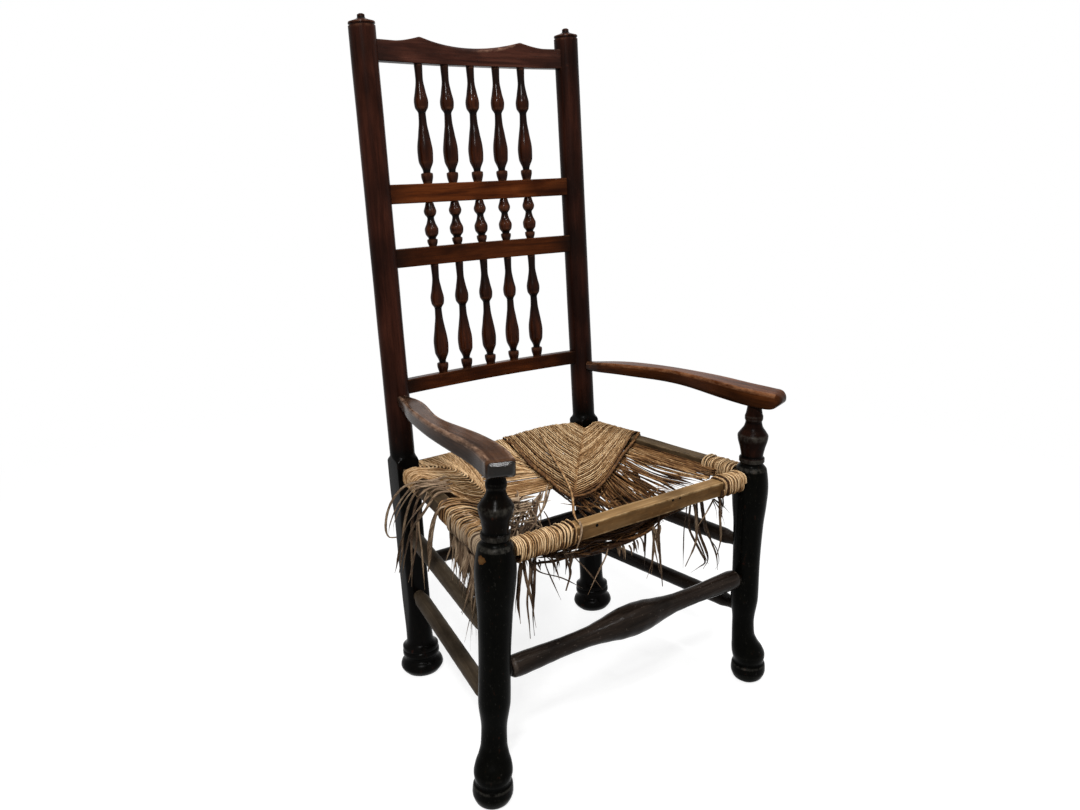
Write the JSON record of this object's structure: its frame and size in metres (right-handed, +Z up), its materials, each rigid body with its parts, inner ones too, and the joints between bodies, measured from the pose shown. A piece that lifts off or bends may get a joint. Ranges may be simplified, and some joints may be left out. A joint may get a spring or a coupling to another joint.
{
  "type": "spindle back armchair",
  "caption": "Tall turned wooden armchair with tiers of spindles in its back, shaped arms, turned legs and stretchers, and a worn, torn rush seat.",
  "frame": {"origin": "on the floor under the middle of the chair's box, loose strands apart", "axes": "+Z up, the sitter faces -Y, +X to the sitter's left"},
  "size_m": [0.6062, 0.536, 1.1349],
  "materials": {
    "mahogany": "polished dark red-brown wood, worn lighter on edges",
    "dark_stain": "near-black stained wood with a dull sheen",
    "arm_wood": "warm brown wood rubbed by hands",
    "worn_stretcher": "dusty grey-brown wood",
    "bare_wood": "bare tan wood",
    "rush": "dry golden brown rush"
  },
  "bodies": {
    "root": {"back_post_left": "mahogany", "back_post_right": "mahogany", "front_leg_left": "dark_stain", "front_leg_right": "dark_stain", "crest_rail": "mahogany", "upper_cross_rail": "mahogany", "middle_cross_rail": "mahogany", "lower_cross_rail": "mahogany", "top_spindle_1": "mahogany", "top_spindle_2": "mahogany", "top_spindle_3": "mahogany", "top_spindle_4": "mahogany", "top_spindle_5": "mahogany", "middle_spindle_1": "mahogany", "middle_spindle_2": "mahogany", "middle_spindle_3": "mahogany", "middle_spindle_4": "mahogany", "middle_spindle_5": "mahogany", "bottom_spindle_1": "mahogany", "bottom_spindle_2": "mahogany", "bottom_spindle_3": "mahogany", "bottom_spindle_4": "mahogany", "bottom_spindle_5": "mahogany", "arm_left": "arm_wood", "arm_right": "arm_wood", "arm_peg_left": "dark_stain", "arm_peg_right": "dark_stain", "front_stretcher": "dark_stain", "back_stretcher": "dark_stain", "left_upper_stretcher": "worn_stretcher", "left_lower_stretcher": "worn_stretcher", "right_upper_stretcher": "worn_stretcher", "right_lower_stretcher": "worn_stretcher", "front_seat_rail": "bare_wood", "back_seat_rail": "bare_wood", "left_seat_rail": "bare_wood", "right_seat_rail": "bare_wood", "rush_seat": "rush", "rush_winding_front_left": "rush", "rush_winding_front_right": "rush", "rush_winding_left": "rush", "rush_winding_right": "rush", "loose_strand_left_loop": "rush", "loose_strand_left_back": "rush", "loose_strand_left_middle": "rush", "loose_strand_left_front": "rush", "loose_strand_inner_left": "rush", "loose_strand_front_left": "rush", "loose_strand_front_inner": "rush", "loose_strand_front_middle": "rush", "loose_strand_front_right": "rush", "loose_strand_right": "rush", "loose_strand_across": "rush", "rush_sagging_bundle": "rush"}
  },
  "joints": []
}
